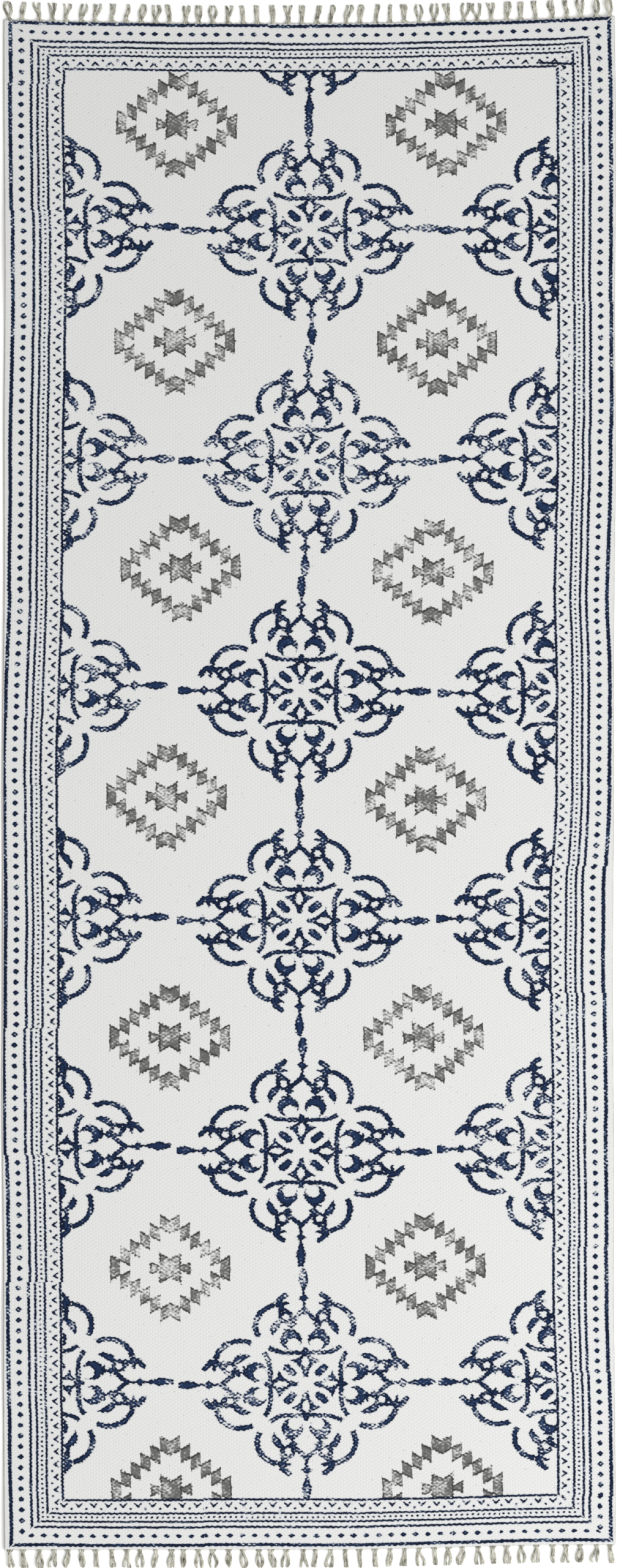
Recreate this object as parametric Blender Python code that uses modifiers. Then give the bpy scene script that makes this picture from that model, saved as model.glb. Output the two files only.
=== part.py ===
"""Flat-woven cotton runner rug, lying open on the floor.

The runner is one woven cloth with a thick cord of warp along each side (the selvedges), a
twined cord across each end (the headings, which lock the last weft) and a fringe of short
tassels, each one a bunch of warp ends gathered and tied just outside its heading.
Frame: X across the runner, Y along it, Z up; the origin lies on the floor under its middle.
All lengths are in metres.
"""
import math

import bpy

# The cloth, measured over its selvedges and over its headings.
CLOTH_WIDTH = 0.610
CLOTH_LENGTH = 1.524
CLOTH_THICKNESS = 0.0030
CLOTH_EDGE_ROUND = 0.0008

# The cords that bind its four sides.
SELVEDGE_DIAMETER = 0.0030
HEADING_DIAMETER = 0.0028
CORD_POINT_SPACING = 0.110

# The fringe: tassels at each end, and how one tassel runs from its roots to its tip.
TASSELS_PER_END = 42
TASSEL_LENGTH = 0.0185
TASSEL_THICKNESS = 0.0024
TASSEL_EDGE_ROUND = 0.0005
END_TASSEL_INSET = 0.0050
ROOT_STRIP = 0.0012
GATHER_LENGTH = 0.0032
KNOT_LENGTH = 0.0032
NECK_WIDTH = 0.0036
KNOT_WIDTH = 0.0052
TIP_WIDTH = 0.0096

# Room between pieces that touch on the real runner.
GAP = 0.0003

# Yarn colours, linear red, green and blue.
COLOURS = {
    "printed_cotton": (0.76, 0.78, 0.76),
    "selvedge_cotton": (0.72, 0.72, 0.68),
    "heading_cotton": (0.70, 0.70, 0.65),
    "tassel_cotton": (0.58, 0.56, 0.47),
}
YARN_ROUGHNESS = 0.9


def clear_scene():
    """Remove every object that a new file starts with."""
    for item in list(bpy.data.objects):
        bpy.data.objects.remove(item, do_unlink=True)


def yarn_material(name):
    """Matt cotton in the colour listed under its name."""
    material = bpy.data.materials.new(name)
    material.use_nodes = True
    shader = material.node_tree.nodes["Principled BSDF"]
    shader.inputs["Base Color"].default_value = (*COLOURS[name], 1.0)
    shader.inputs["Roughness"].default_value = YARN_ROUGHNESS
    shader.inputs["Metallic"].default_value = 0.0
    return material


def place(item, collection, parent, material):
    """File a finished sub-part in its collection, under its parent, with its material."""
    for other in list(item.users_collection):
        other.objects.unlink(item)
    collection.objects.link(item)
    item.parent = parent
    item.data.materials.append(material)
    return item


def woven_cloth():
    """The cloth between its four cords: a thin slab with softened edges, flat on the floor."""
    width = CLOTH_WIDTH - 2 * (SELVEDGE_DIAMETER + GAP)
    length = CLOTH_LENGTH - 2 * (HEADING_DIAMETER + GAP)
    bpy.ops.mesh.primitive_cube_add(size=1.0, location=(0.0, 0.0, CLOTH_THICKNESS / 2))
    cloth = bpy.context.object
    cloth.name = "woven_cloth"
    cloth.scale = (width, length, CLOTH_THICKNESS)
    bpy.ops.object.transform_apply(location=False, rotation=False, scale=True)
    bevel = cloth.modifiers.new("softened_edges", "BEVEL")
    bevel.width = CLOTH_EDGE_ROUND
    bevel.segments = 2
    return cloth


def straight_cord(name, start, end, diameter):
    """A cord of round section from start to end, with flat closed ends."""
    run = math.dist(start, end)
    steps = max(2, round(run / CORD_POINT_SPACING))
    curve = bpy.data.curves.new(name, "CURVE")
    curve.dimensions = "3D"
    curve.bevel_depth = diameter / 2
    curve.bevel_resolution = 2
    curve.use_fill_caps = True
    spline = curve.splines.new("POLY")
    spline.points.add(steps)
    for index, point in enumerate(spline.points):
        share = index / steps
        place_on_line = [a + (b - a) * share for a, b in zip(start, end)]
        point.co = (*place_on_line, 1.0)
    return bpy.data.objects.new(name, curve)


def selvedge_cord(name, side):
    """The bundled outer warps along one side, from heading to heading."""
    x = side * (CLOTH_WIDTH - SELVEDGE_DIAMETER) / 2
    y = CLOTH_LENGTH / 2 - HEADING_DIAMETER - GAP
    z = SELVEDGE_DIAMETER / 2
    return straight_cord(name, (x, -y, z), (x, y, z), SELVEDGE_DIAMETER)


def heading_cord(name, end):
    """The twined cord across one end, over the whole width of the cloth."""
    x = CLOTH_WIDTH / 2
    y = end * (CLOTH_LENGTH - HEADING_DIAMETER) / 2
    z = HEADING_DIAMETER / 2
    return straight_cord(name, (-x, y, z), (x, y, z), HEADING_DIAMETER)


def tassel_centres():
    """Where the tassels hang along a heading, evenly between the two outer ones."""
    outer = CLOTH_WIDTH / 2 - END_TASSEL_INSET
    pitch = 2 * outer / (TASSELS_PER_END - 1)
    return [-outer + index * pitch for index in range(TASSELS_PER_END)]


def tassel_side():
    """Half widths of a tassel at their distances from its roots, from its neck to its tip."""
    knot_middle = GATHER_LENGTH + KNOT_LENGTH / 2
    knot_end = GATHER_LENGTH + KNOT_LENGTH
    return [
        (NECK_WIDTH / 2, GATHER_LENGTH),
        (KNOT_WIDTH / 2, knot_middle),
        (NECK_WIDTH / 2, knot_end),
        (TIP_WIDTH / 2, TASSEL_LENGTH - GAP),
    ]


def pair_outline(left_edge, centres, right_edge):
    """The plan of two neighbouring tassels, whose roots meet in one strip along the heading."""
    valley = sum(centres) / 2
    outline = [(left_edge, 0.0), (left_edge, ROOT_STRIP)]
    for centre in centres:
        outline += [(centre - half, along) for half, along in tassel_side()]
        outline += [(centre + half, along) for half, along in reversed(tassel_side())]
        if centre == centres[0]:
            outline.append((valley, ROOT_STRIP))
    outline += [(right_edge, ROOT_STRIP), (right_edge, 0.0)]
    return outline


def tassel_pair(name, outline, end):
    """A pair of tassels cut from its outline, lying on the floor outside one heading."""
    curve = bpy.data.curves.new(name, "CURVE")
    curve.dimensions = "2D"
    curve.fill_mode = "BOTH"
    curve.extrude = TASSEL_THICKNESS / 2 - TASSEL_EDGE_ROUND
    curve.bevel_depth = TASSEL_EDGE_ROUND
    curve.bevel_resolution = 0
    curve.offset = -TASSEL_EDGE_ROUND
    spline = curve.splines.new("POLY")
    spline.points.add(len(outline) - 1)
    for point, (across, along) in zip(spline.points, outline):
        point.co = (across, along, 0.0, 1.0)
    spline.use_cyclic_u = True
    pair = bpy.data.objects.new(name, curve)
    pair.location = (0.0, end * (CLOTH_LENGTH / 2 + GAP), TASSEL_THICKNESS / 2)
    pair.rotation_euler = (0.0, 0.0, 0.0 if end > 0 else math.pi)
    return pair


def fringe_outlines():
    """The outline of each pair, from one side of the cloth to the other, a gap apart."""
    centres = tassel_centres()
    outlines = []
    for first in range(0, TASSELS_PER_END, 2):
        pair = centres[first:first + 2]
        left = -CLOTH_WIDTH / 2
        right = CLOTH_WIDTH / 2
        if first > 0:
            left = (centres[first - 1] + pair[0]) / 2 + GAP / 2
        if first + 2 < TASSELS_PER_END:
            right = (pair[1] + centres[first + 2]) / 2 - GAP / 2
        outlines.append(pair_outline(left, pair, right))
    return outlines


def build_runner():
    """Model every sub-part and file it under the runner's own empty."""
    collection = bpy.data.collections.new("runner_rug")
    bpy.context.scene.collection.children.link(collection)
    runner = bpy.data.objects.new("runner_rug_origin", None)
    collection.objects.link(runner)
    materials = {name: yarn_material(name) for name in COLOURS}

    place(woven_cloth(), collection, runner, materials["printed_cotton"])
    for name, side in (("selvedge_cord_left", -1), ("selvedge_cord_right", 1)):
        place(selvedge_cord(name, side), collection, runner, materials["selvedge_cotton"])
    for end_name, end in (("head", 1), ("foot", -1)):
        heading = heading_cord("heading_cord_" + end_name, end)
        place(heading, collection, runner, materials["heading_cotton"])
        for number, outline in enumerate(fringe_outlines(), start=1):
            pair = tassel_pair(f"tassel_pair_{end_name}_{number:02d}", outline, end)
            place(pair, collection, runner, materials["tassel_cotton"])


clear_scene()
build_runner()
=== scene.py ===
"""A hand-loomed cotton runner rug, printed by hand with carved blocks, lying on the floor.

X runs across the runner, Y along it and Z up. Lengths are metres, and the printed pattern
is drawn in millimetres.
"""

import math

import bpy
import numpy as np
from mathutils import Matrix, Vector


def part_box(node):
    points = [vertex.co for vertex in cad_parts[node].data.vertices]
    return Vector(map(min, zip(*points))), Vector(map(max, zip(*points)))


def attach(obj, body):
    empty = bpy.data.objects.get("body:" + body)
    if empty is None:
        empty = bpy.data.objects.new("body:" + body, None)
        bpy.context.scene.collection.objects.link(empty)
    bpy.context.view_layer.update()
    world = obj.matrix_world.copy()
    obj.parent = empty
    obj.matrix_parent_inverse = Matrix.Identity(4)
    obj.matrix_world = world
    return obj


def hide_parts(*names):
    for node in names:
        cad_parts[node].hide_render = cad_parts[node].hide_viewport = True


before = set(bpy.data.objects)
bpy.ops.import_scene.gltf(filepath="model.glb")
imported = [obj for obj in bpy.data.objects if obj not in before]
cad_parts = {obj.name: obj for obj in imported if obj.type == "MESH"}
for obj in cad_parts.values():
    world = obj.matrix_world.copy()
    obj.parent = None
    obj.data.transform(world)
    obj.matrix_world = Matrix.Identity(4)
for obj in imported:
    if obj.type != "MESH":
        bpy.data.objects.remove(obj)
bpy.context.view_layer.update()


# ------------------------------------------------ how the runner lies
# The cloth, its cords and its tassels all follow one surface: a flat sheet of plain weave
# that was stretched a little unevenly on the loom and now lies in very shallow swells.

cloth_low, cloth_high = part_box("woven_cloth")
CLOTH_THICKNESS = cloth_high.z - cloth_low.z
HALF_WIDTH, HALF_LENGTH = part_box("heading_cord_head")[1].xy
SWELL = 0.0011
EDGE_WANDER = 0.0012
BOW_REACH = 0.16
HEAD_DIP, HEAD_TILT, HEAD_BOW = 0.0033, 0.0016, 0.0056
FOOT_DRAWN_IN = 0.0050
HEAD_CURL, FOOT_CURL, CURL_REACH = 0.0022, 0.0016, 0.05
EASE = 1.0015


def smooth(value, low, high):
    """A smooth step from 0 to 1 as the value goes from low to high."""
    part = np.clip((value - low) / (high - low), 0.0, 1.0)
    return part * part * (3 - 2 * part)


def bell(distance, reach):
    """A bell curve: 1 where the distance is nothing, falling away over the reach."""
    return np.exp(-((distance / reach) ** 2))


def lie(x, y):
    """Where a point of the flat cloth comes to rest.

    The head end bows, short in its middle and long at its right corner, and the foot end is
    drawn in towards its right corner by a smooth step. Both fade away from the ends as bell
    curves. The sides wander by the sum of two waves, a slow one and a smaller quick one. The
    height is the square of slow crossing waves, so it never goes under the floor, and two
    opposite corners curl up a little. Off the loom the cloth has eased a little longer.
    """
    across = x / HALF_WIDTH
    bow = -HEAD_DIP + HEAD_TILT * across + HEAD_BOW * across**2
    head = bow * bell(HALF_LENGTH - y, BOW_REACH)
    foot = FOOT_DRAWN_IN * smooth(across, 0.05, 0.90) * bell(HALF_LENGTH + y, BOW_REACH)
    wander = EDGE_WANDER * (np.cos(4.5 * (y - 0.5)) + 0.35 * np.sin(19.0 * y + 2.0 * across))
    waves = np.sin(9.0 * y + 3.1 * x + 0.6) * np.cos(5.0 * x - 2.3 * y)
    ripples = 0.6 * np.sin(23.0 * y - 6.0 * x) * across**2
    height = SWELL * (waves + ripples) ** 2
    height += HEAD_CURL * bell(np.hypot(HALF_WIDTH - x, HALF_LENGTH - y), CURL_REACH)
    height += FOOT_CURL * bell(np.hypot(HALF_WIDTH + x, HALF_LENGTH + y), CURL_REACH)
    return x + wander, EASE * y + head + foot, height


# ------------------------------------------------ woven cloth: its shape
# The cloth is one sheet of cotton about 3 mm thick, beaten up firmly on the loom. Its sides
# stop inside the selvedge cords and its ends inside the heading cords.

GRID_STEP = 0.005
CRISP_ANGLE = math.radians(50)
COLUMNS = (-0.2613, 0.0, 0.2570)
ROW_PITCH = 0.2296
FIRST_ROW = 0.5522
ROWS = 8


def between(stops, step):
    """Rising places from the first stop to the last, a step or less apart, on every stop."""
    runs = [
        np.linspace(a, b, math.ceil((b - a) / step), endpoint=False)
        for a, b in zip(stops[:-1], stops[1:])
    ]
    return np.concatenate([*runs, stops[-1:]])


def quad_rows(rows, ring):
    """Faces between rows of ring points each, every ring joined to itself."""
    start = np.arange(rows - 1)[:, None] * ring
    here = np.arange(ring)[None, :]
    there = (here + 1) % ring
    corners = (start + here, start + there, start + ring + there, start + ring + here)
    return np.stack(corners, axis=-1).reshape(-1, 4)


def tube_faces(rings, ring):
    """Faces of a tube of rings, each an even number of points, closed at both ends.

    Each end is closed by a row of faces that joins every point to the one across from it.
    """
    near = np.arange(ring // 2 - 1)
    far = ring - 1 - near
    start = np.stack([near, far, far - 1, near + 1], axis=-1)
    end = np.stack([near, near + 1, far - 1, far], axis=-1) + (rings - 1) * ring
    return np.concatenate([quad_rows(rings, ring), start, end])


def mesh_piece(name, points, faces):
    """A smooth mesh object at the origin, made from arrays, riding on the runner."""
    mesh = bpy.data.meshes.new(name)
    mesh.from_pydata(points.tolist(), [], faces.tolist())
    mesh.shade_smooth()
    piece = bpy.data.objects.new(name, mesh)
    bpy.context.scene.collection.objects.link(piece)
    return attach(piece, "root")


row_edges = FIRST_ROW + (0.5 - np.arange(ROWS - 1)) * ROW_PITCH
half_x = (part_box("selvedge_cord_right")[0].x + HALF_WIDTH) / 2
half_y = (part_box("heading_cord_head")[0].y + HALF_LENGTH) / 2
column_edges = (np.array(COLUMNS[:-1]) + np.array(COLUMNS[1:])) / 2
places_x = between(np.array([-half_x, *column_edges, half_x]), GRID_STEP)
places_y = between(np.array([-half_y, *row_edges[::-1], half_y]), GRID_STEP)

# One ring round the cloth runs over its top and back below; the rings follow each other
# from the foot to the head.
count_x, count_y = len(places_x), len(places_y)
flat_x, flat_y = np.meshgrid(np.concatenate([places_x, places_x[::-1]]), places_y)
side = np.concatenate([np.ones(count_x), np.zeros(count_x)])
side = np.broadcast_to(side, flat_x.shape)
lain_x, lain_y, lift = lie(flat_x, flat_y)
cloth_points = np.stack([lain_x, lain_y, lift + side * CLOTH_THICKNESS], axis=-1)

cloth_faces = tube_faces(count_y, 2 * count_x)
cloth = mesh_piece("cloth", cloth_points.reshape(-1, 3), cloth_faces)
cloth.data.set_sharp_from_angle(angle=CRISP_ANGLE)

# Room round each band and where the two end walls stand, in metres, how many times smaller
# than the upper side the underside and the walls are laid, and the square's own margin.
BAND_MARGIN_X, BAND_MARGIN_Y = 0.002, 0.008
UNDERSIDE_SHRINK, WALL_SHRINK = 3.2, 1.4
FIRST_WALL, LAST_WALL = 0.22, 0.24
LAYOUT_MARGIN = 0.001


def cloth_layout():
    """Where every face corner of the cloth lies in a flat square, for colour kept on it.

    A place in the square is the way over the cloth and the way up it. The upper side lies
    in three bands, two as they are, one above the other, and the third turned to stand
    beside them. The underside lies in the corner that is left, at less than a third of its
    size, and the two end walls stand beside that.
    """
    ring = 2 * count_x
    across = np.concatenate([places_x + half_x, CLOTH_THICKNESS + 3 * half_x - places_x[::-1]])
    across = np.append(across, 4 * half_x + 2 * CLOTH_THICKNESS)
    row, column = np.divmod(np.arange((count_y - 1) * ring)[:, None], ring)
    over = across[column + [0, 1, 1, 0]]
    up = places_y[row + [0, 0, 1, 1]] + half_y

    band_rows = np.array([0, (count_y - 1) // 3, 2 * (count_y - 1) // 3])
    band = (row >= band_rows[1]) * 1 + (row >= band_rows[2])
    up_band = up - (places_y[band_rows] + half_y)[band]
    band_width = 2 * half_x + CLOTH_THICKNESS + BAND_MARGIN_X
    band_height = 2 * half_y / 3 + BAND_MARGIN_Y
    layout_u = np.where(band == 2, band_width + band_height - up_band, over)
    layout_v = np.where(band == 2, over, up_band + band * band_height)

    below = column >= count_x
    below_u = (over - across[count_x]) / UNDERSIDE_SHRINK
    layout_u = np.where(below, band_width + below_u, layout_u)
    layout_v = np.where(below, band_width + up / UNDERSIDE_SHRINK, layout_v)

    wall = np.arange(count_x - 1)[:, None]
    first_wall = (FIRST_WALL, [0, 0, 1, 1], [1, 0, 0, 1])
    last_wall = (LAST_WALL, [0, 1, 1, 0], [1, 1, 0, 0])
    for beside, steps, heights in (first_wall, last_wall):
        wall_v = band_width + (places_x[wall + steps] + half_x) / WALL_SHRINK
        wall_u = band_width + beside + CLOTH_THICKNESS * np.array(heights) + 0 * wall_v
        layout_u = np.concatenate([layout_u, wall_u])
        layout_v = np.concatenate([layout_v, wall_v])
    layout = np.stack([layout_u, layout_v], axis=-1) / (band_width + band_height)
    return LAYOUT_MARGIN + (1 - 2 * LAYOUT_MARGIN) * layout


layer = cloth.data.uv_layers.new(name="OFBake")
layer.data.foreach_set("uv", cloth_layout().ravel())


# ------------------------------------------------ woven cloth: where each block is pressed
# The printer works down the cloth with two carved blocks, a medallion in indigo and a
# saw-edged diamond in grey, setting each one by eye, so no two land quite square or evenly
# inked. What is printed is a little shorter along the cloth than across it.

SQUASH = 0.885
COLUMN_SHIFT = -4.5
COLUMN_DRIFT = 4.3
DRIFT_ROWS = 6
SET_BY_EYE = 0.8
MEDALLION_TURN = math.radians(0.7)
DIAMOND_TURN = math.radians(1.6)
OFF_THE_CLOTH = 2000.0
# How far each medallion lands from its place, across and along, in mm, row by row.
LEFT_MISSES = ((0, 0), (3, 4), (-1, 1), (-3, 5), (2, 4), (2, 6), (-2, 1), (0, 0), (0, 0))
MIDDLE_MISSES = ((2, -1), (0, 1), (0, -1), (-2, 1), (1, 1), (1, 1), (-2, 0), (0, 0), (0, 0))
RIGHT_MISSES = ((0, 0), (-1, 1), (-5, 2), (-1, -1), (0, 3), (-1, 5), (-1, 2), (0, 0), (0, 0))
# How far each diamond misses the middle between its medallions, in the same way.
LEFT_SLIPS = ((-1, -8), (-4, 4), (7, 8), (-2, 10), (1, 0), (-3, 0), (-6, 9))
RIGHT_SLIPS = ((8, -8), (-1, 2), (0, 4), (-3, 7), (-5, 0), (-7, 2), (5, 9))

hand = np.random.default_rng(11)
flat_mm = 1000 * np.stack([flat_x, flat_y], axis=-1).reshape(-1, 2)
face_middle = flat_mm[cloth_faces].mean(axis=1)


def drifted(row):
    """How far the printed columns have wandered sideways at a row, in mm, as a slow cosine."""
    return COLUMN_SHIFT + COLUMN_DRIFT * np.cos(2 * math.pi / DRIFT_ROWS * row)


def write_attribute(mesh, name, domain, values):
    """Keep a three-number attribute on the mesh's points or face corners."""
    layer = mesh.attributes.new(name, "FLOAT_VECTOR", domain)
    layer.data.foreach_set("vector", np.asarray(values, np.float32).ravel())


def pressed(name, column, row, centres, turn):
    """Give every face corner its place on the block that printed its face.

    centres is a grid of block centres by row and column. The place is the corner's
    distance from the centre of its face's block, turned a little and stretched back to the
    carved block's own proportions; the third number is how well that block was inked.
    """
    angle = hand.uniform(-turn, turn, centres.shape[:2])
    inked = hand.uniform(0.0, 1.0, centres.shape[:2])
    away = flat_mm[cloth_faces] - centres[row, column][:, None, :]
    away[..., 1] /= SQUASH
    c, s = np.cos(angle)[row, column][:, None], np.sin(angle)[row, column][:, None]
    place = np.empty((*away.shape[:2], 3))
    place[..., 0] = c * away[..., 0] - s * away[..., 1]
    place[..., 1] = s * away[..., 0] + c * away[..., 1]
    place[..., 2] = inked[row, column][:, None]
    write_attribute(cloth.data, name, "CORNER", place)


rows = np.arange(ROWS + 1)
row_y = 1000 * (FIRST_ROW - (rows - 1) * ROW_PITCH)
centre_x = 1000 * np.array(COLUMNS)[None, :] + drifted(rows - 1)[:, None]
medallions = np.stack([centre_x, np.broadcast_to(row_y[:, None], centre_x.shape)], axis=-1)
medallions += hand.uniform(-SET_BY_EYE, SET_BY_EYE, medallions.shape)
misses = np.array([LEFT_MISSES, MIDDLE_MISSES, RIGHT_MISSES], float)
medallions += misses.transpose(1, 0, 2)
# Only the middle medallion was printed in the row that the head end cuts through.
medallions[0, [0, 2]] += OFF_THE_CLOTH
medallion_row = np.searchsorted(-1000 * row_edges, -face_middle[:, 1])
medallion_column = np.searchsorted(1000 * column_edges, face_middle[:, 0])
pressed("medallion", medallion_column, medallion_row, medallions, MEDALLION_TURN)

slips = np.array([LEFT_SLIPS, RIGHT_SLIPS], float).transpose(1, 0, 2)
half_rows = np.arange(len(LEFT_SLIPS)) - 0.5
between_x = 1000 * column_edges[None, :] + drifted(half_rows)[:, None]
between_y = 1000 * (FIRST_ROW - half_rows * ROW_PITCH)
diamonds = np.stack([between_x, np.broadcast_to(between_y[:, None], between_x.shape)], axis=-1)
diamonds += slips
diamond_row = np.searchsorted(-row_y[1:-2], -face_middle[:, 1])
diamond_column = (face_middle[:, 0] > 0).astype(int)
pressed("diamond", diamond_column, diamond_row, diamonds, DIAMOND_TURN)

cloth_place = np.concatenate([flat_mm, side.reshape(-1, 1)], axis=1)
write_attribute(cloth.data, "cloth_place", "POINT", cloth_place)


# ------------------------------------------------ woven cloth: its weave and its print
# Bleached cotton in plain weave, about nine warps and fourteen picks to the inch. The ink
# sits on the crowns of the yarns and misses the hollows wherever a block was pressed
# lightly, so the print breaks up along the weave.

# From one yarn to the next, and how far a yarn strays, in mm.
WARP_PITCH = 2.80
PICK_PITCH = 1.86
YARN_BEND = 0.8
COTTON = (0.696, 0.697, 0.683)
COTTON_SHADE = (0.630, 0.632, 0.620)
INDIGO = (0.0050, 0.0090, 0.0260)
INDIGO_THIN = (0.021, 0.047, 0.122)
INDIGO_BLEED = (0.060, 0.130, 0.260)
INDIGO_PALE = (0.400, 0.490, 0.640)
GREY = (0.046, 0.047, 0.047)
GREY_THIN = (0.205, 0.205, 0.198)
COTTON_ROUGHNESS = 0.92
COTTON_SPECULAR = 0.06


class Finish:
    """The nodes of one finish, written as sums on numbers and places."""

    def __init__(self, name):
        self.material = bpy.data.materials.new(name)
        self.material.use_nodes = True
        self.tree = self.material.node_tree
        self.shader = self.tree.nodes["Principled BSDF"]

    def feed(self, value, socket):
        """Link a node's output into a socket, or set a plain number there."""
        if isinstance(value, bpy.types.NodeSocket):
            self.tree.links.new(value, socket)
        else:
            socket.default_value = value

    def node(self, kind, inputs, **settings):
        """A node of one kind with its settings made and its inputs fed in order."""
        made = self.tree.nodes.new(kind)
        for key, value in settings.items():
            setattr(made, key, value)
        for value, socket in zip(inputs, made.inputs):
            self.feed(value, socket)
        return made

    def num(self, operation, *inputs, clamp=False):
        """A sum on numbers."""
        made = self.node("ShaderNodeMath", inputs, operation=operation, use_clamp=clamp)
        return made.outputs[0]

    def vec(self, operation, *inputs):
        """A sum on places, giving a place, or a number for a length or a dot product."""
        made = self.node("ShaderNodeVectorMath", inputs, operation=operation)
        number = operation in ("LENGTH", "DISTANCE", "DOT_PRODUCT")
        return made.outputs["Value" if number else "Vector"]

    def place(self, name):
        """An attribute of the mesh, as a place."""
        made = self.node("ShaderNodeAttribute", (), attribute_name=name)
        return made.outputs["Vector"]

    def split(self, place):
        """The three numbers of a place."""
        return self.node("ShaderNodeSeparateXYZ", (place,)).outputs

    def joined(self, *numbers):
        """A place made of its numbers."""
        return self.node("ShaderNodeCombineXYZ", numbers).outputs[0]

    def by_name(self, made, values):
        """Feed the inputs of a node by their names, and give its outputs."""
        for key, value in values.items():
            self.feed(value, made.inputs[key])
        return made.outputs

    def clouds(self, place, scale, detail):
        """Cloudy noise, about 1 / scale from cloud to cloud: a number and a colour."""
        made = self.tree.nodes.new("ShaderNodeTexNoise")
        return self.by_name(made, {"Vector": place, "Scale": scale, "Detail": detail})

    def noise(self, place, scale, detail=1.0):
        """Cloudy noise as a number from 0 to 1."""
        return self.clouds(place, scale, detail)[0]

    def ramp(self, value, low, high, start=0.0, end=1.0):
        """A smooth step from start to end as the value goes from low to high."""
        inputs = (value, low, high, start, end)
        made = self.node("ShaderNodeMapRange", inputs, interpolation_type="SMOOTHSTEP")
        return made.outputs[0]

    def mix(self, share, first, second):
        """A colour between two colours."""
        made = self.node("ShaderNodeMix", (share,), data_type="RGBA")
        for value, socket in ((first, made.inputs[6]), (second, made.inputs[7])):
            if not isinstance(value, bpy.types.NodeSocket):
                value = (*value, 1.0)
            self.feed(value, socket)
        return made.outputs[2]

    def as_cotton(self, colour, sheen, height, depth, strength):
        """Give the surface a colour and the matt look of cotton, in relief by the height."""
        bump = self.tree.nodes.new("ShaderNodeBump")
        relief = self.by_name(bump, {"Strength": strength, "Distance": depth, "Height": height})
        surface = {
            "Base Color": colour,
            "Roughness": COTTON_ROUGHNESS,
            "Specular IOR Level": COTTON_SPECULAR,
            "Sheen Weight": sheen,
            "Normal": relief[0],
        }
        self.by_name(self.shader, surface)


def nearest(finish, *distances):
    """The least of several distances: the union of the shapes they measure."""
    least = distances[0]
    for distance in distances[1:]:
        least = finish.num("MINIMUM", least, distance)
    return least


def inside_all(finish, *distances):
    """The greatest of several distances: what the shapes they measure share."""
    most = distances[0]
    for distance in distances[1:]:
        most = finish.num("MAXIMUM", most, distance)
    return most


def disc(finish, place, centre, radius):
    """Distance to a disc: how far the centre is, less the radius."""
    away = finish.vec("DISTANCE", place, (*centre, 0.0))
    return finish.num("SUBTRACT", away, radius)


def hoop(finish, place, centre, radius, half):
    """Distance to a circle drawn with a line of that half width."""
    off = finish.num("ABSOLUTE", disc(finish, place, centre, radius))
    return finish.num("SUBTRACT", off, half)


def beyond(finish, place, point, direction):
    """Distance past a straight edge through the point, counted along the direction."""
    along = np.array([*direction, 0.0]) / math.hypot(*direction)
    reach = finish.vec("DOT_PRODUCT", place, tuple(along))
    return finish.num("SUBTRACT", reach, float(along[:2] @ np.array(point)))


def bar(finish, place, start, end, half, half_end=None):
    """Distance to a round-ended bar, whose half width may change from start to end.

    It is the distance to the nearest point of the line from start to end, less the half
    width at that point.
    """
    start, end = np.array([*start, 0.0]), np.array([*end, 0.0])
    run = end - start
    from_start = finish.vec("SUBTRACT", place, tuple(start))
    share = finish.vec("DOT_PRODUCT", from_start, tuple(run / (run @ run)))
    share = finish.num("ADD", share, 0.0, clamp=True)
    off = finish.vec("MULTIPLY_ADD", share, tuple(-run), from_start)
    off = finish.vec("LENGTH", off)
    if half_end is None:
        return finish.num("SUBTRACT", off, half)
    width = finish.num("MULTIPLY_ADD", share, half_end - half, half)
    return finish.num("SUBTRACT", off, width)


def folded(finish, place):
    """One eighth of a motif stands for all of it: mirrored in both axes and the diagonal."""
    x, y, _ = finish.split(finish.vec("ABSOLUTE", place))
    return finish.joined(finish.num("MAXIMUM", x, y), finish.num("MINIMUM", x, y), 0.0)


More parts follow.
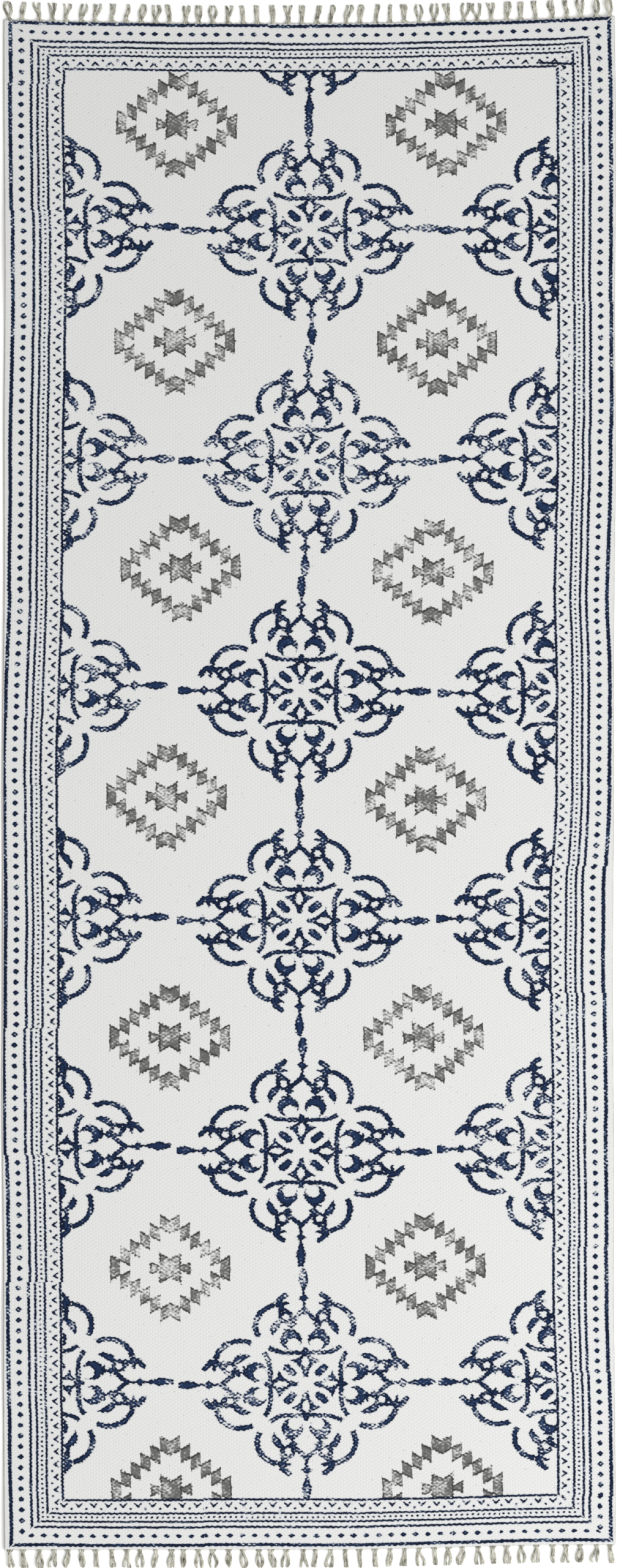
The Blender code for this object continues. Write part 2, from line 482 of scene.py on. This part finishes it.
def medallion_lines(finish, place):
    """Distance to the carved lines of the medallion, in mm, from its folded place.

    From the middle outwards: four arrows with a lens cut in each, a leaf on each diagonal,
    a bowed frame, horned moons, a barbed knot and ring, the outer arc that ends in a
    knob, and the beads and spindle that reach for the next medallion.
    """
    f, p = finish, folded(finish, place)

    arrow = inside_all(
        f,
        f.num("MULTIPLY", disc(f, p, (7.6, 22.8), 21.0), -1.0),
        f.num("MULTIPLY", disc(f, p, (41.2, 15.3), 14.5), -1.0),
        f.num("MULTIPLY", disc(f, p, (24.8, -5.7), 9.7), -1.0),
        beyond(f, p, (8.4, 0.0), (-1, 0)),
        beyond(f, p, (0.0, 14.1), (0, 1)),
        beyond(f, p, (34.0, 0.0), (1, 0)),
    )
    lines = nearest(f, arrow, bar(f, p, (12.9, 12.9), (18.6, 18.6), 3.5))

    frame_arc = inside_all(
        f,
        hoop(f, p, (63.9, 17.6), 28.6, 1.9),
        beyond(f, p, (35.3, 17.6), (0, -1)),
        beyond(f, p, (41.6, 35.5), (0.628, 0.778)),
    )
    lines = nearest(f, lines, frame_arc, bar(f, p, (35.1, 0.0), (35.3, 17.6), 1.9))
    lines = nearest(f, lines, bar(f, p, (34.8, 0.0), (38.6, 0.0), 2.4))

    moon = inside_all(
        f,
        disc(f, p, (49.6, 13.9), 10.3),
        f.num("MULTIPLY", disc(f, p, (44.4, 11.4), 7.4), -1.0),
        beyond(f, p, (38.8, 0.0), (-1, 0)),
    )
    barb = bar(f, p, (58.8, 11.5), (63.8, 14.3), 2.3, 0.5)
    hook = bar(f, p, (60.2, 14.5), (61.3, 20.0), 2.1, 0.4)
    lines = nearest(f, lines, moon, barb, hook)

    x, y, _ = f.split(f.vec("ABSOLUTE", f.vec("SUBTRACT", p, (67.6, 13.1, 0.0))))
    knot = f.num("MULTIPLY_ADD", f.num("ADD", x, y), 0.7, -3.0)
    link = bar(f, p, (70.6, 13.0), (82.9, 0.4), 2.0)
    ring = hoop(f, p, (75.6, 18.3), 5.3, 1.4)
    lines = nearest(f, lines, knot, link, ring)
    lines = nearest(f, lines, bar(f, p, (79.4, 13.7), (85.2, 21.8), 1.6))
    lines = nearest(f, lines, bar(f, p, (73.3, 24.2), (84.0, 24.3), 1.5))
    leaf = inside_all(
        f, disc(f, p, (61.3, 22.5), 11.3), beyond(f, p, (55.0, 32.1), (-0.546, -0.837))
    )
    lines = nearest(f, lines, leaf)

    outer_arc = inside_all(
        f,
        hoop(f, p, (65.2, 24.7), 24.3, 2.35),
        beyond(f, p, (65.2, 24.7), (-0.886, -0.465)),
        beyond(f, p, (65.2, 24.7), (0.195, -0.981)),
    )
    lines = nearest(f, lines, outer_arc)
    lines = nearest(f, lines, bar(f, p, (89.0, 26.4), (95.1, 24.3), 2.5))
    lines = nearest(f, lines, bar(f, p, (95.1, 24.3), (100.2, 18.3), 2.5))
    lines = nearest(f, lines, bar(f, p, (85.2, 22.9), (91.3, 22.9), 2.6))
    lines = nearest(f, lines, bar(f, p, (90.5, 22.2), (90.7, 15.7), 2.3, 0.6))

    x, y, _ = f.split(f.vec("ABSOLUTE", f.vec("SUBTRACT", p, (96.6, 0.0, 0.0))))
    bead = f.num("MULTIPLY_ADD", f.num("ADD", x, y), 0.75, -3.6)
    lines = nearest(f, lines, bead, disc(f, p, (83.7, 0.0), 2.6))
    lines = nearest(f, lines, bar(f, p, (82.9, 0.0), (103.0, 0.0), 1.0))
    lines = nearest(f, lines, bar(f, p, (103.0, 0.0), (117.0, 0.0), 0.6, 4.4))
    return nearest(f, lines, bar(f, p, (117.0, 0.0), (127.0, 0.0), 4.4, 2.6))


def diamond_lines(finish, place):
    """Distance to the saw-edged diamond and its star, in mm.

    The band's middle falls by 0.906 for each step out, and a saw of 10 mm teeth is added
    to it. The star is two bow-tie shapes that widen from their waists.
    """
    f = finish
    x, y, _ = f.split(f.vec("ABSOLUTE", place))
    tooth = f.num("FRACT", f.num("DIVIDE", x, 10.0))
    middle = f.num("MULTIPLY_ADD", tooth, 14.8, 46.5)
    middle = f.num("MULTIPLY_ADD", x, -0.906, middle)
    off = f.num("ABSOLUTE", f.num("SUBTRACT", y, middle))
    band = f.num("MULTIPLY", f.num("SUBTRACT", off, 7.6), 0.75)
    band = inside_all(f, band, f.num("SUBTRACT", x, 60.0))
    body = f.num("MULTIPLY", f.num("SUBTRACT", y, f.num("MULTIPLY_ADD", x, 0.63, 10.0)), 0.8)
    body = inside_all(f, body, f.num("SUBTRACT", x, 10.4))
    ear = f.num("SUBTRACT", y, f.num("MULTIPLY_ADD", x, 0.455, -2.3))
    ear = inside_all(f, ear, f.num("SUBTRACT", x, 20.2), f.num("SUBTRACT", 9.0, x))
    return nearest(f, band, body, ear)


# Half the border's width and length over its outer lines, and its block's length, in mm.
# The squash is how much shorter it is along the cloth than across it.
BORDER_X, BORDER_Y = 299.0, 757.7
BORDER_SQUASH = 0.856
BLOCK = 147.6
# How far in each carved line runs and its half width, then how far in each row of motifs
# runs and how far apart its motifs are.
CARVED_LINES = ((0.0, 1.45), (20.8, 0.95), (27.3, 0.8), (36.8, 0.8), (52.5, 0.9))
DIAMOND_ROW, DIAMOND_PITCH = 10.7, 12.3
DOT_ROW, DOT_PITCH = 32.2, 5.47
SMALL_DOT_ROW, CHEVRON_ROW, CHEVRON_PITCH = 42.3, 44.9, 14.76
# The border's sideways sway, its lasting shift, and how far its two sides stand out halfway.
SWAY, SWAY_LENGTH, BORDER_SHIFT = 2.7, 220.0, -0.8
MEAN_BULGE, BULGE_DIFFERENCE, BULGE_MIDDLE = 2.5, 1.1, 45.0


def repeated(finish, along, pitch):
    """How far a place along the border is from the nearest of the motifs a pitch apart."""
    part = finish.num("FRACT", finish.num("DIVIDE", along, pitch))
    off = finish.num("ABSOLUTE", finish.num("SUBTRACT", part, 0.5))
    return finish.num("MULTIPLY", off, pitch)


def border_lines(finish, flat):
    """The border: distance to its carved lines in mm, how well its block was inked, and
    how far in from its outer line the place is.

    The border is printed with one straight block, set down end to end along each side and
    mitred where two sides meet. Counted inwards it has a bold line, a row of diamonds, two
    lines, a row of small dots, a line, chevrons with a dot between each two, and a last
    line. Each block lands a little in or out and a little along from where it should. The
    border sways sideways in a slow cosine, both of its sides stand out a little further
    halfway along the cloth, and near one corner a line was overshot.
    """
    f = finish
    x, y, _ = f.split(flat)
    sway = f.num("COSINE", f.num("MULTIPLY_ADD", y, 1 / SWAY_LENGTH, -2.48))
    x = f.num("SUBTRACT", x, f.num("MULTIPLY_ADD", sway, SWAY, BORDER_SHIFT))
    bulge = f.num("MULTIPLY_ADD", f.num("SIGN", x), BULGE_DIFFERENCE, MEAN_BULGE)
    from_middle = f.num("ABSOLUTE", f.num("SUBTRACT", y, BULGE_MIDDLE))
    bulge = f.num("MULTIPLY", f.ramp(from_middle, 150.0, 60.0), bulge)
    from_side = f.num("SUBTRACT", f.num("ADD", bulge, BORDER_X), f.num("ABSOLUTE", x))
    from_end = f.num("SUBTRACT", BORDER_Y, f.num("ABSOLUTE", f.num("SUBTRACT", y, 0.8)))
    from_end = f.num("DIVIDE", from_end, BORDER_SQUASH)
    beside = f.num("LESS_THAN", from_side, from_end)
    inwards = f.num("MINIMUM", from_side, from_end)
    down = f.num("DIVIDE", y, BORDER_SQUASH)
    along = f.num("MULTIPLY_ADD", beside, f.num("SUBTRACT", down, x), x)

    # Each end, and each half of each side, has a number of its own for its blocks' chances.
    facing_x = f.num("MULTIPLY", beside, f.num("MULTIPLY_ADD", f.num("SIGN", x), 1.3, 2.0))
    facing = f.num("ADD", f.num("SIGN", y), facing_x)
    number = f.num("FLOOR", f.num("DIVIDE", f.num("MULTIPLY_ADD", facing, 41.0, along), BLOCK))
    chance = f.node("ShaderNodeTexWhiteNoise", (f.joined(number, facing, 0.0),))
    out, on, inked = f.split(chance.outputs["Color"])
    drift = f.noise(flat, 0.018, 0.0)
    slip = f.num("MULTIPLY_ADD", out, 1.8, f.num("MULTIPLY_ADD", drift, 1.4, -1.6))
    e = f.num("ADD", inwards, slip)
    s = f.num("MULTIPLY_ADD", on, 3.0, along)

    def off(row):
        return f.num("ABSOLUTE", f.num("SUBTRACT", e, row))

    lines = nearest(f, *(f.num("SUBTRACT", off(row), half) for row, half in CARVED_LINES))

    part = repeated(f, s, DIAMOND_PITCH)
    squat = f.num("MULTIPLY_ADD", beside, -0.25, 1.3)
    rise = f.num("MULTIPLY", off(DIAMOND_ROW), squat)
    diamond = f.num("MULTIPLY_ADD", f.num("ADD", part, rise), 0.75, -2.4)
    diamond = inside_all(f, diamond, disc(f, f.joined(part, rise, 0.0), (0.0, 0.0), 2.6))
    dot = disc(f, f.joined(repeated(f, s, DOT_PITCH), e, 0.0), (0.0, DOT_ROW), 0.8)
    arm = f.joined(repeated(f, s, CHEVRON_PITCH), e, 0.0)
    chevron = bar(f, arm, (0.0, CHEVRON_ROW), (3.2, CHEVRON_ROW + 3.5), 0.95, 0.3)
    part = repeated(f, f.num("ADD", s, CHEVRON_PITCH / 2), CHEVRON_PITCH)
    small_dot = disc(f, f.joined(part, e, 0.0), (0.0, SMALL_DOT_ROW), 0.9)
    lines = nearest(f, lines, diamond, dot, chevron, small_dot)

    mitre = f.num("ABSOLUTE", f.num("SUBTRACT", from_side, from_end))
    lines = inside_all(f, lines, f.num("MULTIPLY_ADD", mitre, -0.7, 0.9))
    overshot = bar(f, flat, (230.0, 717.6), (264.4, 715.4), 0.9)
    return nearest(f, lines, overshot), inked, inwards


printed = Finish("printed cotton")
f = printed
x, y, face_up = f.split(f.place("cloth_place"))
flat = f.joined(x, y, 0.0)


def yarn_turn(finish, flat, at, pitch, stretch, layer):
    """An angle that grows by half a turn from each yarn to the next.

    The yarns are uneven: noise that is stretched along them bends them a little.
    """
    along = finish.vec("MULTIPLY_ADD", flat, (*stretch, 0.0), (0.0, 0.0, layer))
    bend = finish.num("MULTIPLY_ADD", finish.noise(along, 1.0), 2 * YARN_BEND, -YARN_BEND)
    return finish.num("MULTIPLY", finish.num("ADD", at, bend), math.pi / pitch)


# The weave: warps and picks cross as the product of two sines. Crowns stand up where either
# sign of the product is large, and the twist of the yarn makes them shade into slanting
# lines; that light and shade is painted into the cotton's colour further down.
warp_turn = yarn_turn(f, flat, x, WARP_PITCH, stretch=(0.03, 0.4), layer=0.0)
pick_turn = yarn_turn(f, flat, y, PICK_PITCH, stretch=(0.3, 0.03), layer=4.0)
weave = f.num("MULTIPLY", f.num("SINE", warp_turn), f.num("SINE", pick_turn))
slanting = f.num("COSINE", f.num("SUBTRACT", warp_turn, pick_turn))
crown = f.num("POWER", f.num("ABSOLUTE", weave), 0.5)

# The ink. Its edges waver, it reaches furthest on the crowns, and where the block was
# pressed lightly it holds there only. Grain is how well each few millimetres of yarn take
# ink, and patches a few centimetres wide were pressed more or less firmly.
WAVER = 1.3
SPREAD = 0.42
CREPT = 0.15
PATCHINESS = 0.65
RIM_DEPTH = 0.45
waver = f.clouds(flat, 0.16, 2.0)["Color"]
waver = f.vec("MULTIPLY_ADD", waver, (2 * WAVER, 2 * WAVER, 0.0), (-WAVER, -WAVER, 0.0))
grain = f.ramp(f.noise(f.vec("MULTIPLY", flat, (1.0, 1.4, 0.0)), 0.32), 0.30, 0.70)
hold = f.num("MULTIPLY_ADD", weave, 0.36, f.num("MULTIPLY_ADD", grain, 0.55, 0.22))
held = f.num("MULTIPLY_ADD", weave, 0.24, f.num("MULTIPLY_ADD", grain, 0.62, 0.19))
patch = f.ramp(f.noise(flat, 0.055), 0.30, 0.70, -0.5, 0.5)


def inked_share(finish, distance, density, reach, light, firm, soft):
    """How much ink a place carries, how deep its colour is, and how far dye has crept there.

    A place is printed where the distance to the carved line is under the reach times how
    well the yarn there holds ink, and where that and the pressure together are enough. The
    pressure runs from light to firm as the block's density goes from 0 to 1, and soft says
    how gradually the print gives out as it falls. The ink is deepest in a rim just inside
    the line's edge, where the block squeezed it out. All three results go from 0 to 1.
    """
    f = finish
    edge = f.num("MULTIPLY_ADD", hold, -reach, f.num("ADD", distance, 0.5 * reach - SPREAD))
    pressure = f.num("MULTIPLY_ADD", density, firm - light, light)
    pressure = f.num("ADD", f.num("MULTIPLY_ADD", patch, PATCHINESS, pressure), held)
    rim = f.ramp(distance, -2.4, -0.7, 0.0, RIM_DEPTH)
    pressure = f.num("MULTIPLY_ADD", rim, 1.2 * soft, pressure)
    pressed_home = f.ramp(pressure, 1.0 - soft, 1.0 + soft)
    share = f.num("MULTIPLY", f.ramp(edge, 0.50, -0.50), pressed_home)
    crept = f.num("MULTIPLY", f.ramp(edge, 2.6, -0.2), f.ramp(pressure, 0.5, 1.1))
    depth = f.num("ADD", f.ramp(pressure, 0.9, 1.8, 0.0, 1.0 - RIM_DEPTH), rim)
    return share, depth, crept


# The border wavers less than the motifs do, and the motifs stop at its inner edge.
FIELD_EDGE = 53.4
near_flat = f.vec("MULTIPLY_ADD", waver, (0.35, 0.35, 0.0), flat)
lines, border_density, inwards = border_lines(f, near_flat)
field = f.num("SUBTRACT", FIELD_EDGE, inwards)

medallion = f.place("medallion")
_, _, density = f.split(medallion)
distance = inside_all(f, medallion_lines(f, f.vec("ADD", medallion, waver)), field)
blue, blue_depth, crept = inked_share(f, distance, density, 1.8, 0.70, 1.06, 0.27)
border, border_depth, near = inked_share(f, lines, border_density, 1.1, 0.79, 1.15, 0.26)
crept = f.num("MULTIPLY", f.num("MAXIMUM", crept, near), CREPT)
# In places the bold outer line was flooded with thin, bright ink.
outer_line = f.ramp(inwards, 6.0, 4.0)
flooded = f.num("MULTIPLY", f.ramp(f.noise(flat, 0.03), 0.5, 0.75), outer_line)

diamond = f.place("diamond")
_, _, density = f.split(diamond)
distance = inside_all(f, diamond_lines(f, f.vec("ADD", diamond, waver)), field)
grey, grey_depth, _ = inked_share(f, distance, density, 2.0, 0.68, 0.88, 0.45)

# The bare cotton: the weave's light and shade painted into its colour, thin darker slubs
# along the picks, and a few dark flecks of husk.
cotton = f.num("MULTIPLY_ADD", weave, 0.35, f.num("MULTIPLY_ADD", slanting, 0.24, 0.5))
cotton = f.mix(cotton, COTTON_SHADE, COTTON)
slub = f.noise(f.vec("MULTIPLY", flat, (0.04, 0.8, 0.0)), 1.0, 2.0)
cotton = f.mix(f.ramp(slub, 0.45, 0.85, 0.0, 0.35), cotton, COTTON_SHADE)
fleck = f.ramp(f.noise(flat, 0.42, 0.0), 0.77, 0.86, 0.0, 0.30)
cotton = f.mix(fleck, cotton, GREY)

# The inks over it, grey first. A little of each strikes through to the underside.
STRIKE_THROUGH = 0.15
through = f.num("MULTIPLY_ADD", face_up, 1.0 - STRIKE_THROUGH, STRIKE_THROUGH)
colour = f.mix(f.num("MULTIPLY", crept, through), cotton, INDIGO_PALE)
thin = f.mix(flooded, INDIGO_THIN, INDIGO_BLEED)
for share, ink in (
    (grey, f.mix(grey_depth, GREY_THIN, GREY)),
    (blue, f.mix(blue_depth, INDIGO_THIN, INDIGO)),
    (border, f.mix(border_depth, thin, INDIGO)),
):
    colour = f.mix(f.num("MULTIPLY", share, through), colour, ink)

f.as_cotton(colour, sheen=0.03, height=crown, depth=0.0003, strength=0.6)
cloth.data.materials.append(printed.material)
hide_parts("woven_cloth")


# ------------------------------------------------ selvedge cords
# Along each side the outermost warps are bundled into one cord, and every pick turns back
# round it, so each side ends in a firm, finely ridged edge of undyed cotton. A painted
# shadow darkens the cord's outer flank, where it turns from up to sideways.

SELVEDGE_RADIUS = 0.00150
RIDGE = 0.07
CORD_COTTON = (0.690, 0.688, 0.668)
CORD_SHADE = (0.550, 0.546, 0.522)
# A dark colour painted on the cords' outer flanks as shadow.
PAINTED_FLANK_SHADOW = (0.160, 0.135, 0.105)


def tube_points(centres, radius, sides, up=(0.0, 0.0, 1.0)):
    """Points of round tubes along lines of ring centres.

    Each ring's first direction is square to the line and to up, and its second direction is
    square to both; a point is the centre plus the radius times the cosine and sine of its
    turn along those two. The turn starts so that a flat of the tube lies below.
    """
    along = np.gradient(centres, axis=-2)
    first = np.cross(up, along)
    first /= np.linalg.norm(first, axis=-1, keepdims=True)
    second = np.cross(along, first)
    second /= np.linalg.norm(second, axis=-1, keepdims=True)
    turn = (np.arange(sides)[:, None] + 0.5) * 2 * math.pi / sides - math.pi / 2
    ring = np.cos(turn) * first[..., None, :] + np.sin(turn) * second[..., None, :]
    return centres[..., None, :] + np.asarray(radius)[..., None, None] * ring


def many_tubes(name, *bundles):
    """One piece made of bundles of tubes, each given as points by tube, ring and side."""
    points, faces, start = [], [], 0
    for bundle in bundles:
        count, rings, sides, _ = bundle.shape
        starts = start + np.arange(count)[:, None, None] * rings * sides
        faces.append((tube_faces(rings, sides)[None] + starts).reshape(-1, 4))
        points.append(bundle.reshape(-1, 3))
        start += count * rings * sides
    return mesh_piece(name, np.concatenate(points), np.concatenate(faces))


def yarn_finish(name, light, shade, cloud, stretch, flank=None):
    """Undyed cotton yarn: streaky from the fibres that lie along it, matt and a little furry.

    Cloud and stretch say how often a metre the tone changes, slowly and from fibre to fibre,
    along each axis. Where a flank colour is given, it is painted on as shadow as the surface
    turns from up to sideways.
    """
    f = Finish(name)
    place = f.tree.nodes.new("ShaderNodeTexCoord").outputs["Object"]
    streaks = f.noise(f.vec("MULTIPLY", place, stretch), 1.0, 2.0)
    clouds = f.noise(f.vec("MULTIPLY", place, cloud), 1.0)
    tone = f.num("MULTIPLY_ADD", clouds, 0.5, f.num("MULTIPLY", streaks, 0.5))
    colour = f.mix(f.ramp(tone, 0.32, 0.64), shade, light)
    if flank:
        # Painted shadow: the flank colour comes in as the surface turns from up to sideways.
        facing = f.tree.nodes.new("ShaderNodeNewGeometry").outputs["Normal"]
        colour = f.mix(f.ramp(f.split(facing)[2], 0.90, 0.45), colour, flank)
    f.as_cotton(colour, sheen=0.05, height=streaks, depth=0.0002, strength=0.5)
    return f.material


# The selvedge cotton takes the painted shadow on its outer flanks.
selvedge_cotton = yarn_finish(
    "selvedge cotton", CORD_COTTON, CORD_SHADE, (90.0, 90.0, 90.0), (900.0, 1100.0, 900.0), PAINTED_FLANK_SHADOW
)
ring_count = 2 * round(2 * half_y / (PICK_PITCH / 1000)) + 1
ring_y = np.linspace(-half_y, half_y, ring_count)
ring_radius = SELVEDGE_RADIUS * (1 - RIDGE * (np.arange(ring_count) % 2))
for side_name, edge_x in (("left", -half_x), ("right", half_x)):
    lain_x, lain_y, lift = lie(np.full(ring_count, edge_x), ring_y)
    centres = np.stack([lain_x, lain_y, lift + SELVEDGE_RADIUS], axis=-1)
    tube = tube_points(centres, ring_radius, 8)
    piece = many_tubes("selvedge_" + side_name, tube[None])
    piece.data.materials.append(selvedge_cotton)
    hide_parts("selvedge_cord_" + side_name)


# ------------------------------------------------ heading cords
# Across each end two yarns are twined over and under the warps, which locks the last pick.
# They are the cloth's own cotton and lie level with it.

STRAND_RADIUS = 0.00078
TWIST_RADIUS = 0.00060
TWIST_LENGTH = 0.0104
RINGS_PER_TWIST = 10
END_INSET = 0.0004

heading_cotton = yarn_finish(
    "heading cotton", CORD_COTTON, CORD_SHADE, (90.0, 90.0, 90.0), (1100.0, 900.0, 900.0)
)
ring_count = round(2 * HALF_WIDTH / TWIST_LENGTH * RINGS_PER_TWIST) + 1
ring_x = np.linspace(-HALF_WIDTH + END_INSET, HALF_WIDTH - END_INSET, ring_count)
turn = 2 * math.pi * ring_x / TWIST_LENGTH + np.array([0.0, math.pi])[:, None]
for end_name, edge_y in (("head", half_y), ("foot", -half_y)):
    lain_x, lain_y, lift = lie(ring_x + 0 * turn, edge_y + TWIST_RADIUS * np.cos(turn))
    lift = lift + TWIST_RADIUS * (1 + np.sin(turn)) + STRAND_RADIUS
    tubes = tube_points(np.stack([lain_x, lain_y, lift], axis=-1), STRAND_RADIUS, 6)
    piece = many_tubes("heading_" + end_name, tubes)
    piece.data.materials.append(heading_cotton)
    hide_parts("heading_cord_" + end_name)


# ------------------------------------------------ tassels
# The warps run on past each heading and are gathered six at a time into short tassels. A
# yarn is wound round each neck; below it the warps part into two loosely twisted plies,
# which fork or bow apart and are cut off straight. They lie limp on the floor.

TASSELS = 42
TASSEL_INSET = 0.0050
TASSEL_REACH = 0.0176
ROOT_DEPTH = 0.0012
ASTRAY = 0.0013
YARNS = 6
YARN_SPACING = 0.00105
YARN_RADIUS = 0.00088
PLY_OFFSET = 0.00060
PLY_RADIUS = 0.00070
PLY_BOW = 0.0022
NECK_OUT, NECK_HEIGHT = 0.0032, 0.0017
WRAP_RADIUS = 0.00055
WRAP_HALF_WIDTH, WRAP_HALF_HEIGHT = 0.0016, 0.0011
WRAP_TURNS, WRAP_LENGTH = 1.7, 0.0013
TASSEL_COTTON = (0.620, 0.611, 0.525)
TASSEL_SHADE = (0.125, 0.119, 0.088)

tassel_cotton = yarn_finish(
    "tassel cotton", TASSEL_COTTON, TASSEL_SHADE, (300.0, 130.0, 300.0), (1500.0, 380.0, 1500.0)
)


def drawn(low, high, yarns=1):
    """One random number for every tassel of an end, or for every one of its yarns."""
    return hand.uniform(low, high, (TASSELS, yarns, 1))


def laid_out(across, out, high, end):
    """Where points come to rest, given across the cloth, out from its heading and up."""
    lain_x, lain_y, lift = lie(across, end * (HALF_LENGTH + 0 * across))
    return np.stack([lain_x, lain_y + end * out, lift + high], axis=-1)


def loose_warps(middle, end):
    """Points of the yarns of every tassel at an end, and how far each tassel leans.

    The yarns leave the heading side by side and meet at the neck by a smooth step. Past it
    they part into two twisted plies, which bow apart by half a sine and fork apart by a
    power of the way out. Each yarn curls aside a little and is cut where it happens to be.
    """
    way = np.linspace(0.0, 1.0, 12)
    gathered, past = smooth(way, 0.0, 0.20), smooth(way, 0.18, 1.0)
    yarn = np.arange(YARNS)[None, :, None]
    ply = np.where(yarn < YARNS / 2, -1.0, 1.0)
    root = (yarn - (YARNS - 1) / 2) * YARN_SPACING * drawn(0.6, 1.15)
    half_sine = np.sin(math.pi * ((way - 0.2) / 0.8).clip(0))
    bow = drawn(-0.5, 1.0).clip(0.0) * PLY_BOW * half_sine
    fork = drawn(-0.0007, 0.0022) * past**1.5
    curl = drawn(-0.0011, 0.0011, YARNS) * past**2
    lean = drawn(-0.0022, 0.0022) * past + drawn(-0.0008, 0.0008) * np.sin(6.0 * way)
    turn = 2 * math.pi * (yarn / 3 + way * drawn(0.6, 1.4))
    across = root * (1 - gathered) + ply * (PLY_OFFSET * gathered + 0.0003 * past + bow + fork)
    across = across + lean + curl + PLY_RADIUS * np.cos(turn) * smooth(way, 0.10, 0.35)
    length = TASSEL_REACH + drawn(-0.0006, 0.0002) + drawn(-0.0007, 0.0002, YARNS)
    out = (length + ROOT_DEPTH) * way - ROOT_DEPTH
    high = YARN_RADIUS + PLY_RADIUS * 0.8 * (1 + np.sin(turn)) * (1 - 0.35 * way)
    high = high + 0.0006 * (1 - way)
    centres = laid_out(middle[:, None, None] + across, out, high, end)
    radius = YARN_RADIUS * np.where(way > 0.99, 0.8, 1.0 + 0.08 * np.cos(9.0 * way))
    return tube_points(centres, radius + 0 * across, 6), lean


def neck_wraps(middle, lean, end):
    """Points of the yarn wound round the neck of every tassel at an end: flattened helices."""
    wound = np.linspace(0.0, 1.0, 15)
    angle = 2 * math.pi * (WRAP_TURNS * wound + drawn(0, 1)[..., 0])
    across = middle[:, None] + lean[:, 0, 3:4] + WRAP_HALF_WIDTH * np.cos(angle)
    out = NECK_OUT + WRAP_LENGTH * wound + drawn(-0.0004, 0.0004)[..., 0]
    centres = laid_out(across, out, NECK_HEIGHT + WRAP_HALF_HEIGHT * np.sin(angle), end)
    return tube_points(centres, WRAP_RADIUS + 0 * across, 6, up=(0.0, 1.0, 0.0))


outer = HALF_WIDTH - TASSEL_INSET
for end_name, end in (("head", 1), ("foot", -1)):
    middle = np.linspace(-outer, outer, TASSELS) + hand.uniform(-ASTRAY, ASTRAY, TASSELS)
    middle = middle.clip(-outer, outer)
    warps, lean = loose_warps(middle, end)
    wraps = neck_wraps(middle, lean, end)
    for number in range(1, TASSELS // 2 + 1):
        first = 2 * (number - 1) if end > 0 else TASSELS - 2 * number
        two = slice(first, first + 2)
        name = f"{end_name}_{number:02d}"
        yarns = warps[two].reshape(-1, *warps.shape[2:])
        piece = many_tubes("tassels_" + name, yarns, wraps[two])
        piece.data.materials.append(tassel_cotton)
        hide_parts("tassel_pair_" + name)


# ------------------------------------------------ floor, light and camera
# A pale studio floor under an even, soft light from all round, with a broad lamp on the
# right. The camera looks straight down from high above the middle of the runner.

FLOOR = (0.93, 0.93, 0.92)
FLOOR_GLOW = 0.16
FLOOR_REACH = 40.0
FLOOR_DROP = 0.0002
WHITE = (1.0, 1.0, 1.0, 1.0)
ROOM_LIGHT = 0.62
LAMP_SIZE = 2.5
LAMP_WATTS = 117.0
LAMP_PLACE = (2.0, -1.1, 3.1)
LAMP_TURN = (math.radians(17), math.radians(33), 0.0)
# Where the camera hangs, half the length of floor that it sees, and its film in mm.
CAMERA_PLACE = (0.0012, 0.0009, 5.0)
HALF_VIEW = 0.782
FILM = 36.0

mesh = bpy.data.meshes.new("floor")
corners = FLOOR_REACH * np.array([(-1, -1, 0), (1, -1, 0), (1, 1, 0), (-1, 1, 0)])
mesh.from_pydata(corners.tolist(), [], [(0, 1, 2, 3)])
floor = bpy.data.objects.new("floor", mesh)
bpy.context.scene.collection.objects.link(floor)
floor.location.z = -FLOOR_DROP
painted = Finish("studio floor")
glow = {"Emission Color": WHITE, "Emission Strength": FLOOR_GLOW}
painted.by_name(painted.shader, {"Base Color": (*FLOOR, 1.0), "Roughness": 0.9, **glow})
floor.data.materials.append(painted.material)

world = bpy.data.worlds.new("studio")
world.use_nodes = True
sky = world.node_tree.nodes["Background"].inputs
sky["Color"].default_value = WHITE
sky["Strength"].default_value = ROOM_LIGHT
bpy.context.scene.world = world

lamp = bpy.data.lights.new("lamp", "AREA")
lamp.size = LAMP_SIZE
lamp.energy = LAMP_WATTS
lamp_object = bpy.data.objects.new("lamp", lamp)
lamp_object.location = LAMP_PLACE
lamp_object.rotation_euler = LAMP_TURN
bpy.context.scene.collection.objects.link(lamp_object)

camera = bpy.data.cameras.new("camera")
camera.sensor_width = FILM
camera.lens = FILM / 2 * CAMERA_PLACE[2] / HALF_VIEW
camera.clip_end = 200.0
camera_object = bpy.data.objects.new("camera", camera)
camera_object.location = CAMERA_PLACE
bpy.context.scene.collection.objects.link(camera_object)
bpy.context.scene.camera = camera_object
bpy.context.scene.view_settings.view_transform = "Standard"
